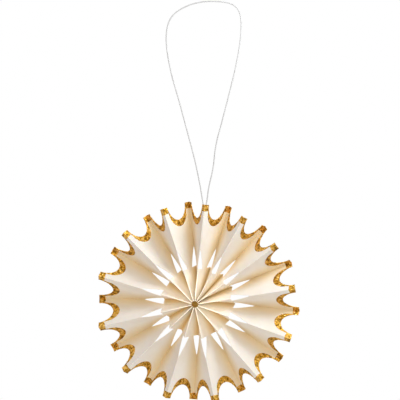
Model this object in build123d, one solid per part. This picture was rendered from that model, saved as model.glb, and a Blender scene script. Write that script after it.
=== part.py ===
from build123d import *
import os
from math import atan2, cos, degrees, radians, sin, sqrt, tan

# Hanging paper snowflake: one strip of card is folded into pleats, drawn together
# into a round rosette and glued at its hub. Its rim is scalloped and edged with gold
# glitter, darts are cut through every fold, and a thread loop hangs it up.
# X is to the right, Y to the back and Z up. The origin is the top of the loop, where
# a hook holds it. The rosette stands upright and faces the front.

# Folded strip
rosette_width = 121.0
rosette_height = 119.0
hub_hole_diameter = 4.0
fold_pairs = 13
pleat_width = 21.0
paper_thickness = 0.25

# Where the folds lie, clockwise from the top as seen from the front
first_fold_azimuth = 5.6
bunching_azimuth = 13.4
single_bunching = 5.3
double_bunching = 2.1

# Scalloped rim and its gold edge, as cut in the flat strip
tip_width = 6.4
scallop_depth = 8.7
gold_width = 3.9
gold_thickness = 0.06

# Darts cut through the folds, as cut in the flat strip
dart_start_radius = 21.0
dart_length = 12.4
dart_width = 13.8

# Glue plug in the hub: it ends inside the hole at the front and at the back
hub_glue_recess = 2.0
hub_glue_bite = 0.3

# Thread loop, its knot and the glue that holds the knot in the top fold
tip_drop = 119.9
tip_offset = -3.4
thread_diameter = 0.8
thread_gap = 0.1
thread_rise = 3.2
knot_threads_across = 3
knot_turn_swell = 0.1
knot_turn_height = 0.15
knot_turn_tilt = 25.0
knot_tail_length = 3.4
knot_tail_splay = 4.0
knot_tail_lean = 14.0
knot_below_tip = 5.8
knot_clearance = 0.05
knot_glue_margin = 0.6
knot_glue_drop = 0.9
knot_glue_clearance = 0.12

# Route of the thread from the left leg over the top to the right leg. Its two ends
# are added from the place of the knot.
loop_route = [
    (-5.5, -4.4, -117.9),
    (-6.8, -4.1, -110.0),
    (-9.8, -3.6, -95.4),
    (-14.7, -2.9, -77.9),
    (-20.1, -2.2, -58.3),
    (-25.2, -1.5, -41.9),
    (-28.4, -0.9, -23.5),
    (-26.7, -0.4, -11.1),
    (-19.8, -0.2, -4.5),
    (-8.0, 0.0, 0.0),
    (7.2, 0.0, 0.0),
    (14.2, -0.1, -2.6),
    (17.2, -0.4, -9.7),
    (16.6, -0.9, -23.2),
    (13.9, -1.5, -38.6),
    (9.5, -2.1, -56.6),
    (5.5, -2.7, -72.1),
    (1.9, -3.2, -85.5),
    (0.9, -3.7, -98.4),
    (-2.0, -4.1, -110.0),
    (-2.8, -4.4, -117.8),
]

# Each arc of the thread takes this share of the shorter straight run beside it
arc_share = 0.45

# Fineness of the curved creases and of the cutters
crease_stations = 8
scallop_cutter_reach = 1.5
bare_cutter_reach = 2.5
dart_cutter_reach = 0.8
cutter_overrun = 1.5

# Values that follow from the sizes above
fold_count = 2 * fold_pairs
mean_step = 360 / fold_count
hub_radius = hub_hole_diameter / 2
rim_radius = rosette_height / 2
widening = rosette_width / rosette_height
hub_x = tip_offset - widening * rim_radius * sin(radians(first_fold_azimuth))
hub_z = -tip_drop - rim_radius * cos(radians(first_fold_azimuth))
front = -1
back = 1
thread_pitch = thread_diameter + thread_gap
knot_diameter = knot_threads_across * thread_diameter
knot_turn_diameter = thread_diameter + knot_turn_swell
knot_core_diameter = knot_diameter - 2 * knot_turn_height
knot_glue_diameter = knot_diameter + 2 * knot_glue_margin


def polar(azimuth, radius, depth):
    """A point of the rosette: degrees clockwise from the top, radius, depth to the back."""
    turn = radians(azimuth)
    x = hub_x + widening * radius * sin(turn)
    return Vector(x, depth, hub_z + radius * cos(turn))


def fold_azimuth(index):
    """Azimuth of a fold: the pleats are drawn closer together beside the loop."""
    even = index * mean_step
    away = radians(even - bunching_azimuth)
    shift = single_bunching * sin(away) + double_bunching * sin(2 * away)
    at_first = radians(-bunching_azimuth)
    start = single_bunching * sin(at_first) + double_bunching * sin(2 * at_first)
    return first_fold_azimuth + even - shift + start


class Fold:
    """One fold of the strip: a straight line from the hub to the rim."""

    def __init__(self, index):
        self.side = front if index % 2 == 0 else back
        self.azimuth = fold_azimuth(index)
        self.step = (fold_azimuth(index + 1) - fold_azimuth(index - 1)) / 2

    def chord(self, radius):
        """Straight distance across one pleat, seen along the axis."""
        return 2 * radius * sin(radians(self.step) / 2)

    def half_depth(self, radius):
        """Distance of the fold line from the middle plane."""
        at_hub = sqrt(pleat_width**2 - self.chord(hub_radius) ** 2) / 2
        at_rim = sqrt(pleat_width**2 - self.chord(rim_radius) ** 2) / 2
        share = (radius - hub_radius) / (rim_radius - hub_radius)
        return at_hub + (at_rim - at_hub) * share

    def point(self, radius):
        """Middle of the paper on the fold line."""
        return polar(self.azimuth, radius, self.side * self.half_depth(radius))

    def slope(self, radius):
        """Angle between the pleats and the axis, in radians."""
        return atan2(self.chord(radius), 2 * self.half_depth(radius))

    def crown(self, radius, thickness, turn):
        """Edge of the flat crown outside the fold, on the side given by turn."""
        slope = self.slope(radius)
        half_width = thickness / 2 * (1 - sin(slope)) / cos(slope)
        azimuth = self.azimuth + turn * degrees(half_width / radius)
        return polar(azimuth, radius, self.side * (self.half_depth(radius) + thickness / 2))

    def crease(self, radius, thickness):
        """Inside corner of the fold, where the faces of its two pleats meet."""
        depth = self.half_depth(radius) - thickness / (2 * sin(self.slope(radius)))
        return polar(self.azimuth, radius, self.side * depth)


folds = [Fold(index) for index in range(fold_count)]


def crown_edge(fold, thickness, turn, start, end):
    """Straight edge of a fold's crown from the start radius to the end radius."""
    return Edge.make_line(fold.crown(start, thickness, turn), fold.crown(end, thickness, turn))


def crease_edge(fold, thickness, start, end):
    """Curved inside corner of a fold, with stations that crowd towards the hub."""
    last = crease_stations - 1
    radii = [start * (end / start) ** (step / last) for step in range(crease_stations)]
    points = [fold.crease(radius, thickness) for radius in radii]
    shares = [(radius - start) / (end - start) for radius in radii]
    return Edge.make_spline(points, parameters=shares)


def pleated_sheet(thickness, start, end):
    """The folded strip between two radii, as one closed solid of even thickness."""
    crowns = [
        {turn: crown_edge(fold, thickness, turn, start, end) for turn in (-1, 1)} for fold in folds
    ]
    creases = [crease_edge(fold, thickness, start, end) for fold in folds]
    faces = []
    for index in range(fold_count):
        following = (index + 1) % fold_count
        crown, crease = crowns[index], creases[index]
        next_crown, next_crease = crowns[following], creases[following]
        faces.append(Face.make_surface_from_curves(crown[-1], crown[1]))
        faces.append(Face.make_surface_from_curves(crown[1], next_crease))
        faces.append(Face.make_surface_from_curves(crease, next_crown[-1]))
        for share in (0, 1):
            here, beyond = crown[1] @ share, next_crease @ share
            inside, over = crease @ share, next_crown[-1] @ share
            faces.append(
                Face.make_surface_from_curves(
                    Edge.make_line(here, beyond), Edge.make_line(inside, over)
                )
            )
            corner = Wire.make_polygon([crown[-1] @ share, here, inside])
            faces.append(Face(corner))
    return Solid(Shell(faces))


def fold_frame(fold, beside, radius):
    """Plane of one pleat at a fold: X along the fold to the rim, Y across the pleat."""
    along = fold.point(rim_radius) - fold.point(hub_radius)
    across = beside.point(radius) - fold.point(radius)
    return Plane(origin=fold.point(radius), x_dir=along, z_dir=along.cross(across))


def pleat_frame(fold, beside):
    """Plane of one pleat at the middle of its rim: X outwards, Y across the pleat."""
    middle = (fold.point(rim_radius) + beside.point(rim_radius)) / 2
    inside_radius = rim_radius - scallop_depth
    inside = (fold.point(inside_radius) + beside.point(inside_radius)) / 2
    across = beside.point(rim_radius) - fold.point(rim_radius)
    return Plane(origin=middle, x_dir=middle - inside, z_dir=(middle - inside).cross(across))


def scallop_cutter(fold, beside, shrink):
    """Half-ellipse bite out of the rim of one pleat, open to the outside."""
    half_width = (pleat_width - tip_width) / 2 - shrink
    bite = Ellipse(scallop_depth - shrink, half_width)
    outside = Pos(scallop_depth, 0) * Rectangle(2 * scallop_depth, 4 * scallop_depth)
    mouth = Pos(cutter_overrun / 2, 0) * Rectangle(cutter_overrun, 2 * half_width)
    profile = bite - outside + mouth
    return extrude(pleat_frame(fold, beside) * profile, scallop_cutter_reach, both=True)


def bare_paper_cutter(fold, beside):
    """What stays bare inside the gold edge of one pleat: the same cut line, moved inwards."""
    half_width = (pleat_width - tip_width) / 2
    length = scallop_depth + gold_width
    panel = Pos(-gold_width - length / 2, 0) * Rectangle(length, pleat_width + 2 * cutter_overrun)
    bite = Pos(-gold_width, 0) * Ellipse(scallop_depth, half_width)
    return extrude(pleat_frame(fold, beside) * (panel - bite), bare_cutter_reach, both=True)


def dart_cutter(fold, beside):
    """Half of a dart: a notch out of one pleat at its fold, blunt towards the hub."""
    half_width = dart_width / 2
    far = dart_length * (1 + cutter_overrun / half_width)
    profile = Polygon((0, -cutter_overrun), (far, -cutter_overrun), (0, half_width), align=None)
    frame = fold_frame(fold, beside, dart_start_radius)
    return extrude(frame * profile, dart_cutter_reach, both=True)


def pleated_rosette():
    """The card strip, folded and glued into a ring, with its scallops and darts cut."""
    sheet = pleated_sheet(paper_thickness, hub_radius, rim_radius)
    scallops = [scallop_cutter(fold, beside, 0) for fold, beside in pairs]
    darts = [dart_cutter(fold, beside) for fold, beside in both_ways]
    return sheet - (scallops + darts)


def gold_edge(paper):
    """Glitter coat round the cut rim: a thin skin on both faces and over the cut edge."""
    start = rim_radius - scallop_depth - gold_width - cutter_overrun / 2
    coated = pleated_sheet(paper_thickness + 2 * gold_thickness, start, rim_radius + gold_thickness)
    scallops = [scallop_cutter(fold, beside, gold_thickness) for fold, beside in pairs]
    bare = [bare_paper_cutter(fold, beside) for fold, beside in pairs]
    return coated - (scallops + bare) - paper


def hub_glue(paper):
    """Plug of glue in the hub hole that grips the inner edges of all the pleats."""
    length = 2 * (folds[0].half_depth(hub_radius) - hub_glue_recess)
    plug = Cylinder(widening * hub_radius + hub_glue_bite, length, rotation=(90, 0, 0))
    return Pos(hub_x, 0, hub_z) * plug - paper


class Hollow:
    """The wedge of air behind the fold that carries the loop, at one radius."""

    def __init__(self, radius):
        fold = folds[0]
        self.vertex = fold.point(radius)
        self.along = (fold.point(rim_radius) - fold.point(hub_radius)).normalized()
        self.sides = []
        for beside in (folds[-1], folds[1]):
            across = beside.point(radius) - self.vertex
            across -= self.along * across.dot(self.along)
            self.sides.append(across.normalized())
        self.middle = (self.sides[0] + self.sides[1]).normalized()
        self.half_angle = radians(self.sides[0].get_angle(self.sides[1]) / 2)

    def seat(self, distance):
        """Point on the middle line that lies the given distance from both pleats."""
        return self.vertex + self.middle * (distance / sin(self.half_angle))

    def wedge(self, setback, size):
        """Solid wedge that keeps the given distance from both pleats."""
        point = self.seat(setback)
        corners = [point] + [point + side * size for side in self.sides]
        section = Face(Wire.make_polygon(corners))
        return extrude(section, size, dir=self.along, both=True)


def knot_centre():
    """Place of the knot: in the hollow, close to both pleats."""
    return knot_hollow.seat(knot_diameter / 2 + paper_thickness / 2 + knot_clearance)


def knot_top():
    """Height above its middle of the flat on the knot where both thread ends meet it."""
    flat_radius = (thread_pitch + thread_diameter) / 2
    return sqrt((knot_core_diameter / 2) ** 2 - flat_radius**2)


def loop_knot(centre):
    """Overhand knot: a round core with a proud turn, a flat top and two short tails."""
    turn = Torus((knot_diameter - knot_turn_diameter) / 2, knot_turn_diameter / 2)
    core = Sphere(knot_core_diameter / 2)
    knot = core + Rot(knot_turn_tilt, 0, 0) * turn
    down = (Align.CENTER, Align.CENTER, Align.MAX)
    tail = Cylinder(thread_diameter / 2, knot_diameter / 2 + knot_tail_length, align=down)
    for side in (-1, 1):
        splay = Rot(knot_tail_lean, -side * knot_tail_splay, 0)
        knot += Pos(side * thread_pitch / 2, 0, 0) * splay * tail
    size = 2 * knot_diameter
    above = Box(size, size, size, align=(Align.CENTER, Align.CENTER, Align.MIN))
    return Pos(centre) * (knot - Pos(0, 0, knot_top()) * above)


def knot_glue(centre, knot):
    """Bead of glue round the lower half of the knot, filling the hollow of the fold."""
    bead = Pos(centre - knot_hollow.along * knot_glue_drop) * Sphere(knot_glue_diameter / 2)
    setback = paper_thickness / 2 + knot_glue_clearance
    wedge = knot_hollow.wedge(setback, 2 * knot_glue_diameter)
    return (bead & wedge & Pos(centre) * below_knot()) - knot


def below_knot():
    """Block that spans everything lower than the middle of the knot."""
    size = 2 * knot_glue_diameter
    return Box(size, size, size, align=(Align.CENTER, Align.CENTER, Align.MAX))


def thread_route(centre):
    """All points of the thread, from one end on the knot round to the other."""
    ends = [centre + Vector(side * thread_pitch / 2, 0, knot_top()) for side in (-1, 1)]
    rises = [end + Vector(0, 0, thread_rise) for end in ends]
    return [ends[0], rises[0], *(Vector(*point) for point in loop_route), rises[1], ends[1]]


def corner_radii(route):
    """Radius of each arc of the thread: as large as its two straight runs allow."""
    radii = []
    for before, corner, after in zip(route, route[1:], route[2:]):
        turn = radians((corner - before).get_angle(after - corner))
        shorter = min((corner - before).length, (after - corner).length)
        radii.append(arc_share * shorter / tan(turn / 2))
    return radii


def hanging_loop(route):
    """The thread: a round tube along straight runs joined by arcs."""
    radii = corner_radii(route)
    path = FilletPolyline(*route, radius=radii)
    print("thread points", [tuple(round(value, 2) for value in route[end]) for end in (0, 1, -2, -1)])
    section = Plane(origin=path @ 0, z_dir=path % 0) * Circle(thread_diameter / 2)
    thread = sweep(section, path=path)
    print("thread radii", [round(radius, 1) for radius in radii])
    print("thread length", round(path.length, 1))
    print("thread volume", thread.volume, "expected", section.area * path.length)
    return thread


pairs = [(folds[index], folds[(index + 1) % fold_count]) for index in range(fold_count)]
both_ways = pairs + [(beside, fold) for fold, beside in pairs]

card = pleated_rosette()
knot_hollow = Hollow(rim_radius - knot_below_tip)
knot_place = knot_centre()
knot = loop_knot(knot_place)
parts = {
    "pleated_rosette": card,
    "gold_edge": gold_edge(card),
    "hub_glue": hub_glue(card),
    "hanging_loop": hanging_loop(thread_route(knot_place)),
    "loop_knot": knot,
    "knot_glue": knot_glue(knot_place, knot),
}
os.makedirs("parts", exist_ok=True)
for name, part in parts.items():
    export_step(part, f"parts/{name}.step")
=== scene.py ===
"""Looks of a hanging paper snowflake: pleated cream card, gold glitter rim, thread loop."""

import logging
import math
import random
from dataclasses import dataclass, field
from enum import Enum
from functools import cached_property

import bmesh
import bpy
from mathutils import Matrix, Vector
from mathutils.bvhtree import BVHTree


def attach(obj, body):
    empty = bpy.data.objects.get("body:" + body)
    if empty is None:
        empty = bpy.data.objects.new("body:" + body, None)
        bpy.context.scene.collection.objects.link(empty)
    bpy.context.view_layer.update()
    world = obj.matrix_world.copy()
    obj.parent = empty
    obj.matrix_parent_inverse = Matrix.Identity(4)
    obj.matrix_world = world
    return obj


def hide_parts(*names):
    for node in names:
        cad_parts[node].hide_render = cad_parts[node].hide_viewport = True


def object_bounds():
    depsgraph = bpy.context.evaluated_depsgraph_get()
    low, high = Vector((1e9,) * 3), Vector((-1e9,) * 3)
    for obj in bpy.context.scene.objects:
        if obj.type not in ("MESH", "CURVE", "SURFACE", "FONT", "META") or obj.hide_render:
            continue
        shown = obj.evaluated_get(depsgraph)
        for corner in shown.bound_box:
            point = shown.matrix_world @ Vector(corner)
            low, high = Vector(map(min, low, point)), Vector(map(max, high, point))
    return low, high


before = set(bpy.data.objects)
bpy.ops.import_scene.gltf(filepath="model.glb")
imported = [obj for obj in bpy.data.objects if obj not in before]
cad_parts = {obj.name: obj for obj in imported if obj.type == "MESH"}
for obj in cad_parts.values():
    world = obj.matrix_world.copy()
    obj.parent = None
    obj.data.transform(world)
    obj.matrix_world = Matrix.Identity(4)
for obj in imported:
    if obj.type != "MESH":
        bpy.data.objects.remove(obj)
cad_low, cad_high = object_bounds()

log = logging.getLogger("snowflake")

MM = 0.001
WELD = 1e-7
TINY = 1e-12
BODY = "root"
CARD_NODE = "pleated_rosette"
GOLD_NODE = "gold_edge"
Pair = tuple[float, float]
Triple = tuple[float, float, float]
Colour = Triple
Socket = bpy.types.NodeSocket


class Slot(Enum):
    """Material slots of the record, one for each kind of new piece."""

    CARD = "card"
    GOLD = "gold_glitter"
    THREAD = "thread"


class Strand(Enum):
    """The three yarns that are twisted into the thread, with their turn in degrees."""

    FIRST = 0
    SECOND = 120
    THIRD = 240


def link(name: str, data: bpy.types.ID) -> bpy.types.Object:
    """Puts new data into the scene.

    Args:
        name: Name of the piece.
        data: Mesh, curve, lamp or camera.

    Returns:
        The new object, at the origin.
    """
    made = bpy.data.objects.new(name, data)
    bpy.context.scene.collection.objects.link(made)
    return made


def mesh_piece(
    name: str, shape: bmesh.types.BMesh, smooth: bool = True
) -> bpy.types.Object:
    """Turns a finished bmesh into an object at the origin.

    Args:
        name: Name of the piece.
        shape: Its bmesh, freed here.
        smooth: Whether its faces are shaded smooth.

    Returns:
        The new object.
    """
    mesh = bpy.data.meshes.new(name)
    shape.to_mesh(mesh)
    shape.free()
    for face in mesh.polygons:
        face.use_smooth = smooth
    return link(name, mesh)


def coiled(
    line: list[Vector], offset: float, pitch: float, start: float, samples: int
) -> list[Vector]:
    """Winds a line round another one.

    Args:
        line: Points of the core, in metres.
        offset: Distance from the core.
        pitch: Length of one turn.
        start: Angle at the first point, in radians.
        samples: Points for each turn.

    Returns:
        Points of the wound line.
    """
    lengths = [0.0]
    for before, after in zip(line, line[1:]):
        lengths.append(lengths[-1] + (after - before).length)
    count = max(2, round(lengths[-1] / pitch * samples))
    side = (line[1] - line[0]).orthogonal().normalized()
    wound, at = [], 0
    for step in range(count + 1):
        along = lengths[-1] * step / count
        while at < len(line) - 2 and lengths[at + 1] < along:
            at += 1
        run = (line[at + 1] - line[at]).normalized()
        part = (along - lengths[at]) / max(lengths[at + 1] - lengths[at], TINY)
        core = line[at].lerp(line[at + 1], min(max(part, 0.0), 1.0))
        side = (side - run * side.dot(run)).normalized()
        angle = start + math.tau * along / pitch
        out = side * math.cos(angle) + run.cross(side) * math.sin(angle)
        wound.append(core + out * offset)
    return wound


def swept(
    name: str, paths: list[list[Vector]], radius: float, rounds: int, taper: float = 1.0
) -> bmesh.types.BMesh:
    """Sweeps a round section along paths, closed at both ends.

    Args:
        name: Name of the curve while it is made.
        paths: Centrelines, in metres.
        radius: Radius of the section.
        rounds: How round the section is: it has four corners, and two more a round.
        taper: Share of the radius that is left at the end of each path.

    Returns:
        The swept shape.
    """
    curve = bpy.data.curves.new(name, "CURVE")
    curve.dimensions = "3D"
    curve.bevel_depth = radius
    curve.bevel_resolution = rounds
    curve.use_fill_caps = True
    for path in paths:
        spline = curve.splines.new("POLY")
        spline.points.add(len(path) - 1)
        for step, (control, point) in enumerate(zip(spline.points, path)):
            control.co = (*point, 1)
            control.radius = 1 + (taper - 1) * step / (len(path) - 1)
    swept_line = link(name, curve)
    bpy.context.view_layer.update()
    mesh = bpy.data.meshes.new_from_object(swept_line)
    shape = bmesh.new()
    shape.from_mesh(mesh)
    bmesh.ops.remove_doubles(shape, verts=shape.verts[:], dist=WELD)
    bmesh.ops.recalc_face_normals(shape, faces=shape.faces[:])
    bpy.data.objects.remove(swept_line)
    bpy.data.meshes.remove(mesh)
    bpy.data.curves.remove(curve)
    return shape


def gather(shape: bmesh.types.BMesh, part: bmesh.types.BMesh) -> None:
    """Adds a part to a shape and frees the part.

    Args:
        shape: The shape that grows.
        part: The part.
    """
    mesh = bpy.data.meshes.new("part")
    part.to_mesh(mesh)
    part.free()
    shape.from_mesh(mesh)
    bpy.data.meshes.remove(mesh)


def hand_in(piece: bpy.types.Object, slot: Slot, *nodes: str) -> None:
    """Fixes a finished piece to the ornament.

    Args:
        piece: The finished piece.
        slot: Material slot of the record for the piece; not used.
        nodes: Solids that it stands for.
    """
    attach(piece, BODY)
    if nodes:
        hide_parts(*nodes)
    log.info("piece %s, standing for %s", piece.name, ", ".join(nodes) or "nothing")


def dress(node: str, look: bpy.types.Material) -> None:
    """Gives a solid its finish.

    Args:
        node: Name of the solid.
        look: Its material.
    """
    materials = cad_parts[node].data.materials
    materials.clear()
    materials.append(look)
    log.info("dressed %s with %s", node, look.name)


class Recipe:
    """A node material on Object coordinates that is put together step by step."""

    LAYERS = 3.0
    LAYER_WEIGHT = 0.55
    FIBRE_LAYERS = 2.0
    FIBRE_TURN = (0.5, 0.3, 0.8)

    def __init__(self, name: str) -> None:
        """Starts from a plain shader.

        Args:
            name: Name of the material.
        """
        self.material = bpy.data.materials.new(name)
        self.material.use_nodes = True
        self.tree = self.material.node_tree
        self.shader = self.tree.nodes["Principled BSDF"]
        self.coordinates = self.add("TexCoord")
        self.place = self.coordinates.outputs["Object"]

    def add(self, kind: str, **settings: object) -> bpy.types.Node:
        """Adds one node.

        Args:
            kind: Type of the node, without its prefix.
            settings: Properties of the node.

        Returns:
            The new node.
        """
        node = self.tree.nodes.new("ShaderNode" + kind)
        for name, value in settings.items():
            setattr(node, name, value)
        return node

    def join(self, start: Socket, end: Socket) -> None:
        """Links an output to an input.

        Args:
            start: Output socket.
            end: Input socket.
        """
        self.tree.links.new(start, end)

    def fix(self, **values: float | Colour) -> None:
        """Sets constants on the shader's own sockets.

        Args:
            values: Socket names with _ for a space, and their values.
        """
        for name, value in values.items():
            self.shader.inputs[name.replace("_", " ")].default_value = value

    def wire(self, **patterns: Socket) -> None:
        """Links patterns to the shader's own sockets.

        Args:
            patterns: Socket names with _ for a space, and their patterns.
        """
        for name, pattern in patterns.items():
            self.join(pattern, self.shader.inputs[name.replace("_", " ")])

    def noise(self, grain: float, layers: float = LAYERS) -> Socket:
        """Soft noise.

        Args:
            grain: Size of a blotch in metres.
            layers: Number of finer layers.

        Returns:
            Its value, 0 to 1.
        """
        node = self.add("TexNoise")
        node.inputs["Scale"].default_value = 1 / grain
        node.inputs["Detail"].default_value = layers
        node.inputs["Roughness"].default_value = self.LAYER_WEIGHT
        self.join(self.place, node.inputs["Vector"])
        return node.outputs["Fac"]

    def stretched(self, grain: float, stretch: Triple) -> Socket:
        """Noise drawn out along an axis, as paper fibres are.

        Args:
            grain: Size of a blotch in metres.
            stretch: Factor of the frequency along X, Y and Z.

        Returns:
            Its value, 0 to 1.
        """
        turn = self.add("Mapping")
        turn.inputs["Scale"].default_value = stretch
        turn.inputs["Rotation"].default_value = self.FIBRE_TURN
        self.join(self.place, turn.inputs["Vector"])
        node = self.add("TexNoise")
        node.inputs["Scale"].default_value = 1 / grain
        node.inputs["Detail"].default_value = self.FIBRE_LAYERS
        self.join(turn.outputs["Vector"], node.inputs["Vector"])
        return node.outputs["Fac"]

    def cells(self, grain: float) -> bpy.types.Node:
        """Cells of random colour, one for each flake.

        Args:
            grain: Size of a cell in metres.

        Returns:
            The node.
        """
        node = self.add("TexVoronoi", feature="F1")
        node.inputs["Scale"].default_value = 1 / grain
        self.join(self.place, node.inputs["Vector"])
        return node

    def ramp(self, value: Socket, *stops: tuple[float, Colour]) -> Socket:
        """Turns a value into a colour.

        Args:
            value: Value from 0 to 1.
            stops: Position and colour of each stop.

        Returns:
            The colour.
        """
        node = self.add("ValToRGB")
        elements = node.color_ramp.elements
        while len(elements) < len(stops):
            elements.new(0.5)  # Each one gets its own position below.
        for element, (position, colour) in zip(elements, stops):
            element.position = position
            element.color = (*colour, 1)
        self.join(value, node.inputs["Fac"])
        return node.outputs["Color"]

    def blend(
        self, share: Socket | float, first: Socket, second: Socket | Colour
    ) -> Socket:
        """Mixes two colours.

        Args:
            share: Share of the second colour, a pattern or a number.
            first: First colour, a pattern.
            second: Second colour, a pattern or one colour.

        Returns:
            The mixed colour.
        """
        node = self.add("Mix", data_type="RGBA")
        for end, value in (("Factor", share), ("A", first), ("B", second)):
            if isinstance(value, float):
                node.inputs[end].default_value = value
            elif isinstance(value, tuple):
                node.inputs[end].default_value = (*value, 1)
            else:
                self.join(value, node.inputs[end])
        return node.outputs["Result"]

    def between(self, value: Socket, low: float, high: float) -> Socket:
        """Spreads a value from 0..1 to another range.

        Args:
            value: Value from 0 to 1.
            low: Result at 0.
            high: Result at 1.

        Returns:
            The new value.
        """
        node = self.add("MapRange")
        node.inputs["To Min"].default_value = low
        node.inputs["To Max"].default_value = high
        self.join(value, node.inputs["Value"])
        return node.outputs["Result"]

    def recess_shade(self, start: float, end: float) -> Socket:
        """Mask of the painted shade: says how deep a point lies between the folds, on
        either side of the card.

        Args:
            start: Depth from the middle plane where the painted shade starts, in metres.
            end: Depth where it is full.

        Returns:
            A share from 0 on the ridges to 1 in the valleys.
        """
        facing = self.add("SeparateXYZ")
        self.join(self.coordinates.outputs["Normal"], facing.inputs[0])
        side = self.add("Math", operation="SIGN")
        self.join(facing.outputs["Y"], side.inputs[0])
        spot = self.add("SeparateXYZ")
        self.join(self.place, spot.inputs[0])
        depth = self.add("Math", operation="MULTIPLY")
        self.join(spot.outputs["Y"], depth.inputs[0])
        self.join(side.outputs[0], depth.inputs[1])
        share = self.add("MapRange", interpolation_type="SMOOTHSTEP")
        share.inputs["From Min"].default_value = -start
        share.inputs["From Max"].default_value = -end
        self.join(depth.outputs[0], share.inputs["Value"])
        return share.outputs["Result"]

    def near_axis(self, axis: Vector, near: float, far: float, rest: float) -> Socket:
        """Says how near a point lies to an axis along Y.

        Args:
            axis: A point on the axis, in metres.
            near: Distance up to which the share is 1.
            far: Distance from which it is the rest.
            rest: The share far away.

        Returns:
            The share.
        """
        away = self.add("VectorMath", operation="SUBTRACT")
        self.join(self.place, away.inputs[0])
        away.inputs[1].default_value = axis
        flat = self.add("VectorMath", operation="MULTIPLY")
        self.join(away.outputs["Vector"], flat.inputs[0])
        flat.inputs[1].default_value = (1, 0, 1)  # Y doesn't count
        length = self.add("VectorMath", operation="LENGTH")
        self.join(flat.outputs["Vector"], length.inputs[0])
        share = self.add("MapRange")
        share.inputs["From Min"].default_value = near
        share.inputs["From Max"].default_value = far
        share.inputs["To Min"].default_value = 1.0
        share.inputs["To Max"].default_value = rest
        self.join(length.outputs["Value"], share.inputs["Value"])
        return share.outputs["Result"]

    def product(self, first: Socket, second: Socket) -> Socket:
        """Multiplies two values.

        Args:
            first: First value.
            second: Second value.

        Returns:
            Their product.
        """
        node = self.add("Math", operation="MULTIPLY")
        self.join(first, node.inputs[0])
        self.join(second, node.inputs[1])
        return node.outputs[0]

    def relief(self, height: Socket, depth: float, strength: float) -> Socket:
        """Bump from a height.

        Args:
            height: Height from 0 to 1.
            depth: Depth of the relief in metres.
            strength: Weight of the relief.

        Returns:
            The bumped normal.
        """
        node = self.add("Bump")
        node.inputs["Distance"].default_value = depth
        node.inputs["Strength"].default_value = strength
        self.join(height, node.inputs["Height"])
        return node.outputs["Normal"]


@dataclass(frozen=True)
class CardFinish:
    """Matt cream card: fine fibres, faint clouds, painted warm shade in the recesses, and
    light soaks in.
    """

    pale: Colour = (0.945, 0.86, 0.74)
    warm: Colour = (0.92, 0.83, 0.695)
    cloud: float = 9 * MM
    cloud_stops: Pair = (0.35, 0.65)
    speck: Colour = (0.80, 0.69, 0.54)
    speck_stops: Pair = (0.62, 0.75)
    speck_share: float = 0.22
    fibre: float = 0.5 * MM
    fibre_stretch: Triple = (0.25, 1.0, 1.0)
    # Painted shade: the warm tint laid into the valleys between the folds.
    painted_shade_tint: Colour = (0.83, 0.64, 0.365)
    ridge_depth: float = -2.5 * MM
    valley_depth: float = 8.5 * MM
    hub_zone: float = 20 * MM
    outer_zone: float = 32 * MM
    outer_share: float = 0.85
    roughness: Pair = (0.78, 0.95)
    relief: float = 0.04 * MM
    relief_weight: float = 0.5
    soak: float = 0.12 * MM
    soak_weight: float = 0.15
    soak_reach: Triple = (1.0, 0.55, 0.25)
    gloss: float = 0.06

    def build(self, hub: Vector) -> bpy.types.Material:
        """Makes the material.

        Args:
            hub: Middle of the rosette, in metres.

        Returns:
            The material.
        """
        look = Recipe("cream_card")
        low, high = self.cloud_stops
        clouds = look.ramp(look.noise(self.cloud), (low, self.warm), (high, self.pale))
        fibres = look.stretched(self.fibre, self.fibre_stretch)
        none, most = self.speck_stops
        specks = look.ramp(fibres, (none, (0.0,) * 3), (most, (self.speck_share,) * 3))
        speckled = look.blend(specks, clouds, self.speck)
        # Painted shade: a golden tint that deepens towards the valleys, full near the hub
        # and a little weaker further out.
        recess_shade = look.product(
            look.recess_shade(self.ridge_depth, self.valley_depth),
            look.near_axis(hub, self.hub_zone, self.outer_zone, self.outer_share),
        )
        look.wire(
            Base_Color=look.blend(recess_shade, speckled, self.painted_shade_tint),
            Roughness=look.between(fibres, *self.roughness),
            Normal=look.relief(fibres, self.relief, self.relief_weight),
        )
        look.fix(
            Subsurface_Weight=self.soak_weight, Subsurface_Radius=self.soak_reach,
            Subsurface_Scale=self.soak, Specular_IOR_Level=self.gloss,
        )
        return look.material


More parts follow.
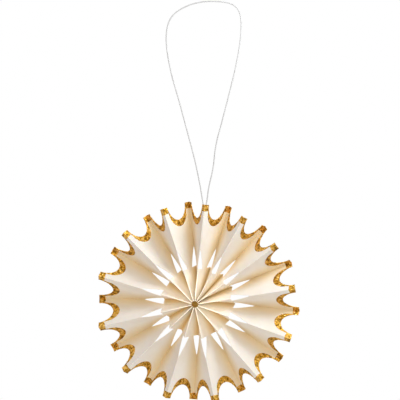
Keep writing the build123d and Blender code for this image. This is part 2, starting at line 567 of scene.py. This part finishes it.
@dataclass(frozen=True)
class GlitterFinish:
    """Gold glitter: flakes, each tilted and toned by itself, with painted shade and painted
    glints on random flakes and clumps.
    """

    body: Colour = (0.72, 0.355, 0.022)
    flake: float = 0.42 * MM
    # Painted shade and painted glint of single flakes.
    flake_painted_shade: Colour = (0.12, 0.042, 0.003)
    flake_painted_glint: Colour = (1.0, 0.80, 0.27)
    flake_stops: tuple[float, float, float, float] = (0.0, 0.50, 0.78, 0.98)
    clump: float = 1.7 * MM
    # Painted shade and painted glint of the clumps.
    clump_painted_shade: Colour = (0.09, 0.03, 0.002)
    clump_painted_glint: Colour = (0.98, 0.62, 0.20)
    clump_stops: Triple = (0.40, 0.50, 0.62)
    clump_share: float = 0.6
    upright: Triple = (0.5, 0.5, 0.5)
    tilt: float = 0.9
    roughness: Pair = (0.25, 0.6)
    metal: float = 0.7
    gloss: float = 0.1

    def build(self) -> bpy.types.Material:
        """Makes the material.

        Returns:
            The material.
        """
        look = Recipe("gold_glitter")
        cells = look.cells(self.flake)
        channels = look.add("SeparateColor")
        look.join(cells.outputs["Color"], channels.inputs["Color"])
        # Painted shade and painted glints: the darkest and brightest flakes, chosen at
        # random.
        tones = (self.flake_painted_shade, self.body, self.body, self.flake_painted_glint)
        flakes = look.ramp(channels.outputs["Red"], *zip(self.flake_stops, tones))
        # Painted shade and painted glints again, in dark and bright clumps laid at random.
        tones = (self.clump_painted_shade, self.body, self.clump_painted_glint)
        clumps = look.ramp(look.noise(self.clump), *zip(self.clump_stops, tones))
        lean = look.add("VectorMath", operation="SUBTRACT")
        look.join(cells.outputs["Color"], lean.inputs[0])
        lean.inputs[1].default_value = self.upright
        spread = look.add("VectorMath", operation="SCALE")
        look.join(lean.outputs["Vector"], spread.inputs[0])
        spread.inputs["Scale"].default_value = self.tilt
        facing = look.add("VectorMath", operation="ADD")
        look.join(look.add("NewGeometry").outputs["Normal"], facing.inputs[0])
        look.join(spread.outputs["Vector"], facing.inputs[1])
        unit = look.add("VectorMath", operation="NORMALIZE")
        look.join(facing.outputs["Vector"], unit.inputs[0])
        look.wire(
            Base_Color=look.blend(self.clump_share, flakes, clumps),
            Roughness=look.between(channels.outputs["Green"], *self.roughness),
            Normal=unit.outputs["Vector"],
        )
        look.fix(Metallic=self.metal, Specular_IOR_Level=self.gloss)
        return look.material


@dataclass(frozen=True)
class GlueFinish:
    """Set glue, amber and slightly glossy, with small waves."""

    name: str = "amber_glue"
    clear: Colour = (0.19, 0.087, 0.004)
    dark: Colour = (0.10, 0.046, 0.002)
    wave: float = 0.9 * MM
    wave_stops: Pair = (0.3, 0.7)
    roughness: Pair = (0.3, 0.5)
    relief: float = 0.15 * MM
    relief_weight: float = 0.4
    soak: float = 0.3 * MM
    soak_weight: float = 0.3
    gloss: float = 0.1

    def build(self) -> bpy.types.Material:
        """Makes the material.

        Returns:
            The material.
        """
        look = Recipe(self.name)
        waves = look.noise(self.wave)
        low, high = self.wave_stops
        look.wire(
            Base_Color=look.ramp(waves, (low, self.dark), (high, self.clear)),
            Roughness=look.between(waves, *self.roughness),
            Normal=look.relief(waves, self.relief, self.relief_weight),
        )
        look.fix(
            Subsurface_Weight=self.soak_weight, Subsurface_Scale=self.soak,
            Specular_IOR_Level=self.gloss,
        )
        return look.material


@dataclass(frozen=True)
class BeadFinish(GlueFinish):
    """The same glue in the knot's bead, where it is clearer."""

    name: str = "clear_glue"
    clear: Colour = (0.62, 0.50, 0.33)
    dark: Colour = (0.50, 0.38, 0.22)


@dataclass(frozen=True)
class ThreadFinish:
    """White spun thread, greyer where its fibre relief is low: painted shade in its
    hollows.
    """

    light: Colour = (0.67, 0.64, 0.60)
    # Painted shade: the grey of the thread's hollows.
    grey: Colour = (0.50, 0.475, 0.44)
    fibre: float = 0.12 * MM
    fibre_layers: float = 4.0
    fibre_stops: Pair = (0.3, 0.65)
    roughness: Pair = (0.7, 0.95)
    relief: float = 0.03 * MM
    relief_weight: float = 0.6
    sheen: float = 0.2

    def build(self) -> bpy.types.Material:
        """Makes the material.

        Returns:
            The material.
        """
        look = Recipe("white_thread")
        fibres = look.noise(self.fibre, self.fibre_layers)
        low, high = self.fibre_stops
        # Painted shade: the grey falls on the low places of the same fibres that make the
        # relief.
        look.wire(
            Base_Color=look.ramp(fibres, (low, self.grey), (high, self.light)),
            Roughness=look.between(fibres, *self.roughness),
            Normal=look.relief(fibres, self.relief, self.relief_weight),
        )
        look.fix(Sheen_Weight=self.sheen)
        return look.material


@dataclass(frozen=True)
class FloorFinish:
    """Pale studio floor with a very faint mottle."""

    grey: Colour = (0.80, 0.80, 0.80)
    pale: Colour = (0.84, 0.84, 0.84)
    mottle: float = 0.3
    mottle_stops: Pair = (0.3, 0.7)
    roughness: float = 0.9

    def build(self) -> bpy.types.Material:
        """Makes the material.

        Returns:
            The material.
        """
        look = Recipe("pale_floor")
        mottle = look.noise(self.mottle)
        low, high = self.mottle_stops
        look.wire(Base_Color=look.ramp(mottle, (low, self.grey), (high, self.pale)))
        look.fix(Roughness=self.roughness)
        return look.material


@dataclass
class Pleats:
    """Fold lines of the card, from the sizes of the folded strip, in millimetres."""

    fold_pairs: int = 13
    width: float = 121.0
    height: float = 119.0
    hub_hole: float = 4.0
    pleat_width: float = 21.0
    thickness: float = 0.25
    first_azimuth: float = 5.6
    bunching_azimuth: float = 13.4
    single_bunching: float = 5.3
    double_bunching: float = 2.1
    tip_drop: float = 119.9
    tip_offset: float = -3.4

    @property
    def rim(self) -> float:
        """Radius of the rim."""
        return self.height / 2

    @property
    def hub(self) -> Vector:
        """Middle of the rosette."""
        turn = math.radians(self.first_azimuth)
        x = self.tip_offset - self.width / 2 * math.sin(turn)
        return Vector((x, 0, -self.tip_drop - self.rim * math.cos(turn)))

    def azimuth(self, index: int) -> float:
        """Azimuth of a fold.

        Args:
            index: Number of the fold, clockwise from the one with the loop.

        Returns:
            Degrees clockwise from the top.
        """
        even = index * 180 / self.fold_pairs

        def shift(angle: float) -> float:
            """How far the bunching moves a fold at this angle."""
            away = math.radians(angle - self.bunching_azimuth)
            once = self.single_bunching * math.sin(away)
            return once + self.double_bunching * math.sin(2 * away)

        return self.first_azimuth + even - shift(even) + shift(0)

    def half_depth(self, index: int, radius: float) -> float:
        """Distance of a fold line from the middle plane.

        Args:
            index: Number of the fold.
            radius: Distance from the hub's axis.

        Returns:
            The distance.
        """
        step = math.radians(self.azimuth(index + 1) - self.azimuth(index - 1)) / 2

        def rise(at: float) -> float:
            """Half the depth of a pleat at this radius."""
            chord = 2 * at * math.sin(step / 2)
            return math.sqrt(self.pleat_width**2 - chord**2) / 2

        inner = self.hub_hole / 2
        share = (radius - inner) / (self.rim - inner)
        return rise(inner) + (rise(self.rim) - rise(inner)) * share

    def point(self, index: int, radius: float) -> Vector:
        """Middle of the paper on a fold line.

        Args:
            index: Number of the fold.
            radius: Distance from the hub's axis.

        Returns:
            The point in millimetres.
        """
        turn = math.radians(self.azimuth(index))
        side = -1 if index % 2 == 0 else 1
        x = self.width / self.height * radius * math.sin(turn)
        depth = side * self.half_depth(index, radius)
        return self.hub + Vector((x, depth, radius * math.cos(turn)))

    def on_pleat(
        self, index: int, beside: int, radius: float, away: float, lift: float
    ) -> Vector:
        """A point on the front of a pleat.

        Args:
            index: Number of the fold that it is measured from.
            beside: Number of the fold on the pleat's other side.
            radius: Distance from the hub's axis.
            away: Distance from the fold, across the pleat.
            lift: Height above the middle of the paper.

        Returns:
            The point in metres.
        """
        here = self.point(index, radius)
        inner, outer = self.point(index, self.hub_hole / 2), self.point(index, self.rim)
        along = (outer - inner).normalized()
        across = self.point(beside, radius) - here
        across = (across - along * across.dot(along)).normalized()
        out = along.cross(across)
        if out.y > 0:
            out.negate()
        return (here + across * away + out * lift) * MM


@dataclass
class Rosette:
    """The folded card, and its glued tab beside the fold that carries the loop, in mm."""

    pleats: Pleats
    tab_width: float = 2.5
    tab_start: float = 5.0
    tab_tip: float = 0.8
    tab_lift: float = 1.5
    tab_rows: int = 4
    dart_start: float = 21.0
    dart_length: float = 12.4
    dart_half_width: float = 6.9
    gold_width: float = 3.9
    edge_gap: float = 0.12
    stations: int = 28

    def dart_edge(self, radius: float) -> float:
        """How far the dart reaches from the fold.

        Args:
            radius: Distance from the hub's axis.

        Returns:
            Its half width there, 0 outside the dart.
        """
        share = 1 - (radius - self.dart_start) / self.dart_length
        return self.dart_half_width * share if 0 < share < 1 else 0.0

    def tab_strip(
        self, shape: bmesh.types.BMesh, start: float, end: float, material: int
    ) -> None:
        """Adds one stretch of the glued tab.

        Args:
            shape: The bmesh that it goes into.
            start: Radius where it starts.
            end: Radius where it ends.
            material: Number of its material.
        """
        strip = bmesh.new()
        half = 0.5
        bmesh.ops.create_grid(
            strip, x_segments=self.stations, y_segments=self.tab_rows, size=half
        )
        lift = self.pleats.thickness * self.tab_lift
        for vertex in strip.verts:
            radius = start + (end - start) * (vertex.co.x + half)
            inner = max(self.edge_gap, self.dart_edge(radius))
            away = inner + (self.tab_width - inner) * (vertex.co.y + half)
            vertex.co = self.pleats.on_pleat(0, -1, radius, away, lift)
        bmesh.ops.recalc_face_normals(strip, faces=strip.faces[:])
        if sum(face.normal.y for face in strip.faces) > 0:
            bmesh.ops.reverse_faces(strip, faces=strip.faces[:])
        bmesh.ops.solidify(strip, geom=strip.faces[:], thickness=self.pleats.thickness * MM)
        for face in strip.faces:
            face.material_index = material
        gather(shape, strip)

    def glue_tab(
        self, card: bpy.types.Material, gold: bpy.types.Material
    ) -> bpy.types.Object:
        """Builds the narrow tab that closes the folded strip into a ring.

        Args:
            card: Material of the card.
            gold: Material of its gold end.

        Returns:
            The tab.
        """
        shape = bmesh.new()
        tip_share = self.tab_tip * self.tab_width / self.dart_half_width
        reach = self.dart_length * (1 - tip_share)
        gold_start = self.pleats.rim - self.gold_width
        self.tab_strip(shape, self.tab_start, self.dart_start, 0)
        self.tab_strip(shape, self.dart_start + reach, gold_start, 0)
        self.tab_strip(shape, gold_start, self.pleats.rim, 1)
        tab = mesh_piece("glue_tab", shape, smooth=False)
        tab.data.materials.append(card)
        tab.data.materials.append(gold)
        hand_in(tab, Slot.CARD)
        return tab

    def dress(self, card: bpy.types.Material, gold: bpy.types.Material) -> None:
        """Gives the card and its gold edge their finishes.

        Args:
            card: Material of the card.
            gold: Material of the gold edge.
        """
        dress(CARD_NODE, card)
        dress(GOLD_NODE, gold)


@dataclass
class GlitterGrains:
    """Loose six-sided flakes, slightly crowned, that stand proud of the gold edge."""

    count: int = 9000
    radius: float = 0.17 * MM
    spread: float = 0.35
    lean: float = 24.0
    lift: float = 0.035 * MM
    crown: float = 0.03 * MM
    skin: float = 0.03 * MM
    margin: float = 0.32 * MM
    sides: int = 6
    tries: int = 3
    batch: int = 150
    seed: int = 26

    def places(self) -> list[tuple[Vector, Vector]]:
        """Chooses points on the outside of the gold edge, away from the card.

        Returns:
            A point and its normal for each flake.
        """
        rng = random.Random(self.seed)
        gold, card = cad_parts[GOLD_NODE].data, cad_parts[CARD_NODE].data
        gold.calc_loop_triangles()
        card.calc_loop_triangles()
        tree = BVHTree.FromPolygons(
            [vertex.co for vertex in card.vertices],
            [tuple(triangle.vertices) for triangle in card.loop_triangles],
        )
        triangles = [triangle for triangle in gold.loop_triangles if triangle.area > 0]
        areas = [triangle.area for triangle in triangles]
        chosen = rng.choices(triangles, weights=areas, k=self.tries * self.count)
        found = []
        for triangle in chosen:
            a, b, c = (gold.vertices[i].co for i in triangle.vertices)
            u, v = sorted((rng.random(), rng.random()))
            point = a * u + b * (v - u) + c * (1 - v)
            _, _, _, away = tree.find_nearest(point)
            inside = all(
                low + self.margin < x < high - self.margin
                for low, x, high in zip(cad_low, point, cad_high)
            )
            if away > self.skin and inside:
                found.append((point, triangle.normal.copy()))
            if len(found) == self.count:
                break
        return found

    def build(self, gold: bpy.types.Material) -> bpy.types.Object:
        """Scatters the flakes.

        Args:
            gold: Their material.

        Returns:
            All flakes as one piece.
        """
        rng = random.Random(self.seed + 1)
        shape, batch = bmesh.new(), bmesh.new()
        for number, (point, normal) in enumerate(self.places()):
            if number % self.batch == 0:
                gather(shape, batch)
                batch = bmesh.new()
            size = self.radius * (1 + self.spread * rng.uniform(-1, 1))
            turn = Matrix.Rotation(rng.uniform(0, math.tau), 4, "Z")
            tip = Matrix.Rotation(math.radians(rng.uniform(0, self.lean)), 4, "X")
            swing = Matrix.Rotation(rng.uniform(0, math.tau), 4, "Z")
            face = normal.to_track_quat("Z", "Y").to_matrix().to_4x4()
            place = Matrix.Translation(point + normal * self.lift)
            bmesh.ops.create_cone(
                batch, cap_ends=True, segments=self.sides, radius1=size, radius2=0,
                depth=self.crown, matrix=place @ face @ swing @ tip @ turn,
            )
        gather(shape, batch)
        grains = mesh_piece("glitter_grains", shape, smooth=False)
        grains.data.materials.append(gold)
        hand_in(grains, Slot.GOLD)
        return grains


@dataclass
class ThreadLoop:
    """The thread, in mm: three yarns twisted round one smooth line along the route."""

    diameter: float = 0.8
    length: float = 286.8
    yarn_radius: float = 0.24
    yarn_offset: float = 0.16
    twist_pitch: float = 3.0
    samples_per_turn: int = 10
    yarn_rounds: int = 1
    line_steps: int = 40
    end: Triple = (-4.45, -6.19, -125.14)
    gap: float = 0.9
    rise: float = 3.2
    knot_drop: float = 0.616
    route: list[Triple] = field(
        default_factory=lambda: [
            (-5.5, -4.4, -117.9),
            (-6.8, -4.1, -110.0),
            (-9.8, -3.6, -95.4),
            (-14.7, -2.9, -77.9),
            (-20.1, -2.2, -58.3),
            (-25.2, -1.5, -41.9),
            (-28.4, -0.9, -23.5),
            (-26.7, -0.4, -11.1),
            (-19.8, -0.2, -4.5),
            (-8.0, 0.0, 0.0),
            (7.2, 0.0, 0.0),
            (14.2, -0.1, -2.6),
            (17.2, -0.4, -9.7),
            (16.6, -0.9, -23.2),
            (13.9, -1.5, -38.6),
            (9.5, -2.1, -56.6),
            (5.5, -2.7, -72.1),
            (1.9, -3.2, -85.5),
            (0.9, -3.7, -98.4),
            (-2.0, -4.1, -110.0),
            (-2.8, -4.4, -117.8),
        ]
    )

    def ends(self) -> tuple[Vector, Vector]:
        """Both ends of the thread, on the knot.

        Returns:
            The left end and the right end, in millimetres.
        """
        left = Vector(self.end)
        return left, left + Vector((self.gap, 0, 0))

    @property
    def knot_middle(self) -> Triple:
        """Middle of the knot, just under both ends, in millimetres."""
        x, y, z = self.end
        return x + self.gap / 2, y, z - self.knot_drop

    @cached_property
    def centreline(self) -> list[Vector]:
        """Reads the smooth line of the thread.

        Returns:
            Points in metres, close together.
        """
        left, right = self.ends()
        up = Vector((0, 0, self.rise))
        points = [left, left + up, *(Vector(p) for p in self.route), right + up, right]
        curve = bpy.data.curves.new("thread_line", "CURVE")
        curve.dimensions = "3D"
        curve.resolution_u = self.line_steps
        spline = curve.splines.new("NURBS")
        spline.points.add(len(points) - 1)
        for control, point in zip(spline.points, points):
            control.co = (*(point * MM), 1)
        spline.order_u = 3
        spline.use_endpoint_u = True
        line = link("thread_line", curve)
        bpy.context.view_layer.update()
        mesh = bpy.data.meshes.new_from_object(line)
        found = [vertex.co.copy() for vertex in mesh.vertices]
        bpy.data.objects.remove(line)
        bpy.data.meshes.remove(mesh)
        bpy.data.curves.remove(curve)
        return found

    def build(self, look: bpy.types.Material) -> bpy.types.Object:
        """Twists the yarns along the line.

        Args:
            look: Material of the thread.

        Returns:
            The thread.
        """
        paths = [
            coiled(
                self.centreline, self.yarn_offset * MM, self.twist_pitch * MM,
                math.radians(strand.value), self.samples_per_turn,
            )
            for strand in Strand
        ]
        shape = swept("yarns", paths, self.yarn_radius * MM, self.yarn_rounds)
        thread = mesh_piece("twisted_thread", shape)
        thread.data.materials.append(look)
        hand_in(thread, Slot.THREAD, "hanging_loop")
        return thread

    def declare(self, thread: bpy.types.Object, *knots: bpy.types.Object) -> None:
        """Reads the points of the thread's line, and does nothing with them.

        Args:
            thread: The thread; not used.
            knots: The pieces on it; not used.
        """
        [tuple(point) for point in self.centreline]


@dataclass
class LoopKnot:
    """Overhand knot tied with both ends of the thread, and its two tails, in mm."""

    centre: Triple
    gap: float
    size: float = 0.78
    flatten: float = 0.42
    tilt: float = 25.0
    samples: int = 72
    thread_radius: float = 0.4
    thread_rounds: int = 3
    tail_length: float = 3.9
    tail_lean: float = 14.0
    tail_steps: int = 8
    tail_taper: float = 0.85
    tail_rounds: int = 2

    def tied_line(self) -> list[Vector]:
        """Closed line of the knot's body, a flattened trefoil.

        Returns:
            Points in metres.
        """
        points = []
        middle = Vector(self.centre)
        tilt = Matrix.Rotation(math.radians(self.tilt), 3, "X")
        for step in range(self.samples + 1):
            t = math.tau * step / self.samples
            flat = Vector((
                math.sin(t) + 2 * math.sin(2 * t),
                -math.sin(3 * t) * 3 * self.flatten,
                math.cos(t) - 2 * math.cos(2 * t),
            )) / 3
            points.append((middle + tilt @ flat * self.size) * MM)
        return points

    def build(self, look: bpy.types.Material) -> bpy.types.Object:
        """Builds the knot.

        Args:
            look: Material of the thread.

        Returns:
            The knot.
        """
        radius = self.thread_radius * MM
        shape = swept("knot_body", [self.tied_line()], radius, self.thread_rounds)
        lean = math.radians(self.tail_lean)
        down = Vector((0, math.sin(lean), -math.cos(lean)))
        for side in (-1, 1):
            foot = Vector(self.centre) + Vector((side * self.gap / 2, 0, 0))
            path = [
                (foot + down * self.tail_length * step / self.tail_steps) * MM
                for step in range(self.tail_steps + 1)
            ]
            gather(shape, swept("tail", [path], radius, self.tail_rounds, self.tail_taper))
        knot = mesh_piece("tied_knot", shape)
        knot.data.materials.append(look)
        hand_in(knot, Slot.THREAD, "loop_knot")
        return knot


@dataclass
class GluePoints:
    """The glue that fills the hub and the bead that holds the knot."""

    hub_node: str = "hub_glue"
    bead_node: str = "knot_glue"

    def dress(self, hub: bpy.types.Material, bead: bpy.types.Material) -> None:
        """Gives both their finish.

        Args:
            hub: Material of the hub's plug.
            bead: Material of the knot's bead.
        """
        dress(self.hub_node, hub)
        dress(self.bead_node, bead)


@dataclass(frozen=True)
class Lamp:
    """A soft round lamp, or a spot lamp where it has a cone, that points at the rosette.

    Distance and size are in metres, energy in watts, and angles in degrees: the azimuth
    runs clockwise from the top, and the tilt starts at the front.
    """

    name: str
    azimuth: float
    tilt: float
    distance: float
    size: float
    energy: float
    colour: Colour
    cone: float = 0.0
    cone_softness: float = 1.0

    def data(self) -> bpy.types.Light:
        """Makes the lamp's data.

        Returns:
            The data.
        """
        if self.cone:
            spot = bpy.data.lights.new(self.name, "SPOT")
            spot.spot_size = math.radians(self.cone)
            spot.spot_blend = self.cone_softness
            spot.shadow_soft_size = self.size
            return spot
        disk = bpy.data.lights.new(self.name, "AREA")
        disk.shape = "DISK"
        disk.size = self.size
        return disk

    def place(self, aim: Vector) -> None:
        """Puts the lamp into the scene.

        Args:
            aim: The point that it lights, in metres.
        """
        data = self.data()
        data.energy = self.energy
        data.color = self.colour
        turn, tilt = math.radians(self.azimuth), math.radians(self.tilt)
        off_axis = math.sin(tilt)
        way = Vector((
            off_axis * math.sin(turn), -math.cos(tilt), off_axis * math.cos(turn)
        ))
        lamp = link(self.name, data)
        lamp.location = aim + way * self.distance
        lamp.rotation_euler = (-way).to_track_quat("-Z", "Y").to_euler()
        lamp.visible_camera = False


@dataclass
class Studio:
    """Camera, lamps, white room and pale floor, in metres; target and sensor in mm."""

    azimuth: float = 9.1
    elevation: float = 6.1
    distance: float = 2.5
    pixels_per_metre: float = 1686.0
    image_side: int = 400
    sensor: float = 36.0
    target: Triple = (-7.77, 0.0, -117.94)
    clip: Pair = (0.1, 20.0)
    floor_drop: float = 0.62
    floor_radius: float = 1.1
    floor_sides: int = 96
    seen_colour: Colour = (1.0, 1.0, 1.0)
    fill_colour: Colour = (1.0, 0.88, 0.93)
    fill_strength: float = 0.46
    lamps: tuple[Lamp, ...] = (
        Lamp(
            "key", azimuth=35, tilt=72, distance=0.3, size=0.15,
            energy=0.49, colour=(0.82, 0.91, 1.0),
        ),
        Lamp(
            "front", azimuth=56, tilt=11, distance=2.0, size=0.3,
            energy=14.8, colour=(0.80, 0.96, 1.0),
        ),
        Lamp(
            "hub", azimuth=20, tilt=7, distance=1.0, size=0.006,
            energy=31.0, colour=(1.0, 0.93, 0.72), cone=2.75,
        ),
        Lamp(
            "hub_side", azimuth=33, tilt=38, distance=1.0, size=0.006,
            energy=6.0, colour=(1.0, 0.90, 0.76), cone=2.75,
        ),
        Lamp(
            "hub_back", azimuth=330, tilt=169, distance=1.0, size=0.006,
            energy=26.0, colour=(1.0, 0.93, 0.75), cone=2.75,
        ),
        Lamp(
            "back", azimuth=330, tilt=150, distance=1.4, size=0.8,
            energy=11.0, colour=(1.0, 0.98, 0.94),
        ),
    )

    def camera(self) -> None:
        """Looks at the ornament as the photograph does."""
        turn, up = math.radians(self.azimuth), math.radians(self.elevation)
        back = Vector((
            math.sin(turn) * math.cos(up), -math.cos(turn) * math.cos(up), math.sin(up)
        ))
        data = bpy.data.cameras.new("camera")
        camera = link("camera", data)
        camera.location = Vector(self.target) * MM + back * self.distance
        camera.rotation_euler = (-back).to_track_quat("-Z", "Y").to_euler()
        data.sensor_width = self.sensor
        data.lens = self.pixels_per_metre * self.distance * self.sensor / self.image_side
        data.clip_start, data.clip_end = self.clip
        bpy.context.scene.camera = camera

    def room(self) -> None:
        """White room: it looks white, and lights the ornament more softly."""
        world = bpy.data.worlds.new("white_room")
        bpy.context.scene.world = world
        world.use_nodes = True
        tree = world.node_tree
        tree.nodes.clear()
        path = tree.nodes.new("ShaderNodeLightPath")
        share = path.outputs["Is Camera Ray"]
        for other in ("Is Glossy Ray", "Is Transmission Ray"):
            most = tree.nodes.new("ShaderNodeMath")
            most.operation = "MAXIMUM"
            tree.links.new(share, most.inputs[0])
            tree.links.new(path.outputs[other], most.inputs[1])
            share = most.outputs[0]
        fill = tree.nodes.new("ShaderNodeBackground")
        fill.inputs["Color"].default_value = (*self.fill_colour, 1)
        fill.inputs["Strength"].default_value = self.fill_strength
        seen = tree.nodes.new("ShaderNodeBackground")
        seen.inputs["Color"].default_value = (*self.seen_colour, 1)
        both = tree.nodes.new("ShaderNodeMixShader")
        tree.links.new(share, both.inputs[0])
        tree.links.new(fill.outputs[0], both.inputs[1])
        tree.links.new(seen.outputs[0], both.inputs[2])
        out = tree.nodes.new("ShaderNodeOutputWorld")
        tree.links.new(both.outputs[0], out.inputs["Surface"])

    def floor(self, look: bpy.types.Material) -> None:
        """Lays a pale floor well below the ornament.

        Args:
            look: Its material.
        """
        shape = bmesh.new()
        bmesh.ops.create_circle(
            shape, cap_ends=True, segments=self.floor_sides, radius=self.floor_radius,
            matrix=Matrix.Translation((0, 0, -self.floor_drop)),
        )
        floor = mesh_piece("floor", shape, smooth=False)
        floor.data.materials.append(look)

    def build(self, look: bpy.types.Material, aim: Vector) -> None:
        """Sets up the whole studio.

        Args:
            look: Material of the floor.
            aim: The point that the lamps light, in metres.
        """
        bpy.context.scene.view_settings.view_transform = "Standard"
        self.camera()
        self.room()
        self.floor(look)
        for lamp in self.lamps:
            lamp.place(aim)
        log.info("studio with %d lamps", len(self.lamps))


def main() -> None:
    """Builds the studio and dresses the ornament."""
    logging.basicConfig(level=logging.INFO, format="%(name)s: %(message)s")
    pleats = Pleats()
    hub = pleats.hub * MM
    Studio().build(FloorFinish().build(), hub)
    card, gold = CardFinish().build(hub), GlitterFinish().build()
    white = ThreadFinish().build()
    loop = ThreadLoop()
    thread = loop.build(white)
    knot = LoopKnot(loop.knot_middle, loop.gap).build(white)
    loop.declare(thread, knot)
    rosette = Rosette(pleats)
    rosette.dress(card, gold)
    rosette.glue_tab(card, gold)
    GlitterGrains().build(gold)
    GluePoints().dress(GlueFinish().build(), BeadFinish().build())


if __name__ == "__main__":
    main()
